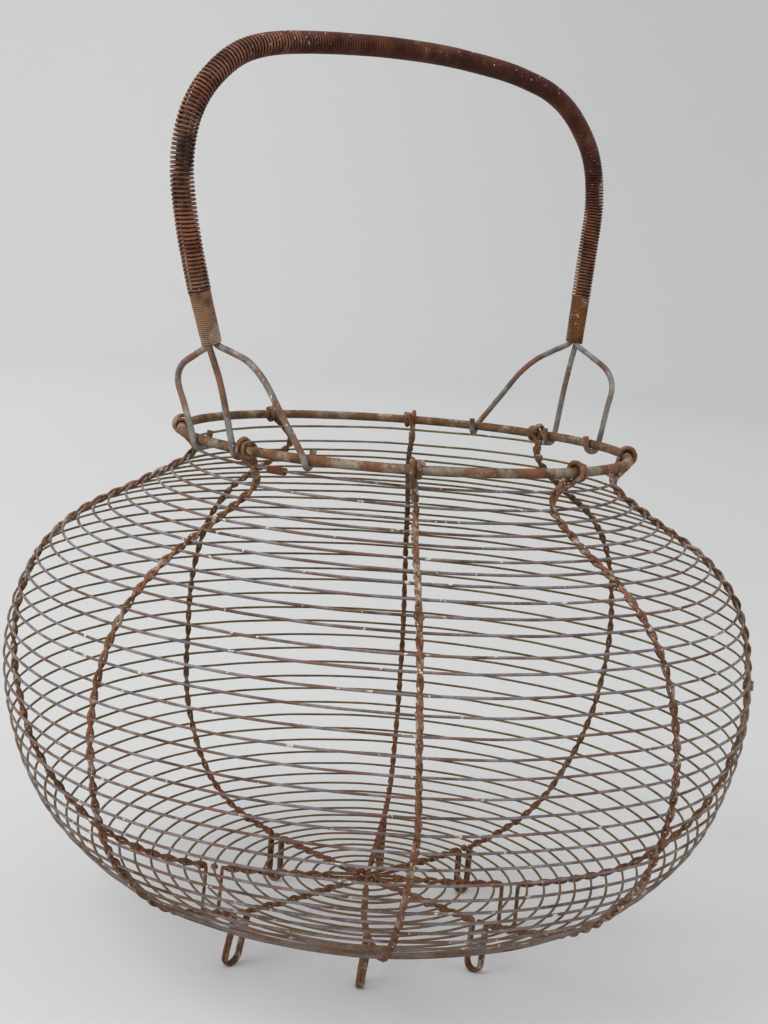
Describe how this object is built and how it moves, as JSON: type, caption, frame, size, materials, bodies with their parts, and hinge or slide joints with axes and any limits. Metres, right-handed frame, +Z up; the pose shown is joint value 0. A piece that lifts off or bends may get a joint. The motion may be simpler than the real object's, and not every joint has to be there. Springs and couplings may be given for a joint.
{
  "type": "fruit picker basket",
  "caption": "Round-bellied wire fruit picking basket with a rim hoop, twisted ribs on loop feet, a wound weft and a bound bail handle on hooked legs.",
  "frame": {"origin": "on the floor, on the basket's axis, level with the undersides of the loop feet", "axes": "+Z up along the basket's axis; the handle's plane is X-Z, with its front left end at -X"},
  "size_m": [0.4039, 0.4039, 0.4788],
  "materials": {
    "hoop_steel": "weathered grey-olive steel with rust patches",
    "rib_wire": "brown rust with pale worn ridges",
    "weft_wire": "mauve-grey oxidised wire",
    "tie_wire": "rusted binding wire",
    "core_wire": "dull galvanised steel with rust stains",
    "winding_wire": "dark red-brown rust",
    "binding_wire": "golden-brown rust"
  },
  "bodies": {
    "root": {"rim_hoop": "hoop_steel", "weft_neck": "weft_wire", "weft_shoulder": "weft_wire", "weft_upper_belly": "weft_wire", "weft_middle_belly": "weft_wire", "weft_lower_belly": "weft_wire", "weft_heel": "weft_wire", "weft_base_outer": "weft_wire", "weft_base_inner": "weft_wire", "centre_ring": "weft_wire", "weft_end_wrap": "tie_wire", "repair_wrap": "tie_wire", "rib_back_right_outer": "rib_wire", "rib_back_right_inner": "rib_wire", "rib_back_outer": "rib_wire", "rib_back_inner": "rib_wire", "rib_back_left_outer": "rib_wire", "rib_back_left_inner": "rib_wire", "rib_left_outer": "rib_wire", "rib_left_inner": "rib_wire", "rib_front_left_outer": "rib_wire", "rib_front_left_inner": "rib_wire", "rib_front_outer": "rib_wire", "rib_front_inner": "rib_wire", "rib_front_right_outer": "rib_wire", "rib_front_right_inner": "rib_wire", "rib_right_outer": "rib_wire", "rib_right_inner": "rib_wire", "handle_core_middle": "core_wire", "handle_core_back": "core_wire", "handle_core_front": "core_wire", "handle_winding": "winding_wire", "handle_binding_left": "binding_wire", "handle_binding_right": "binding_wire"}
  },
  "joints": []
}
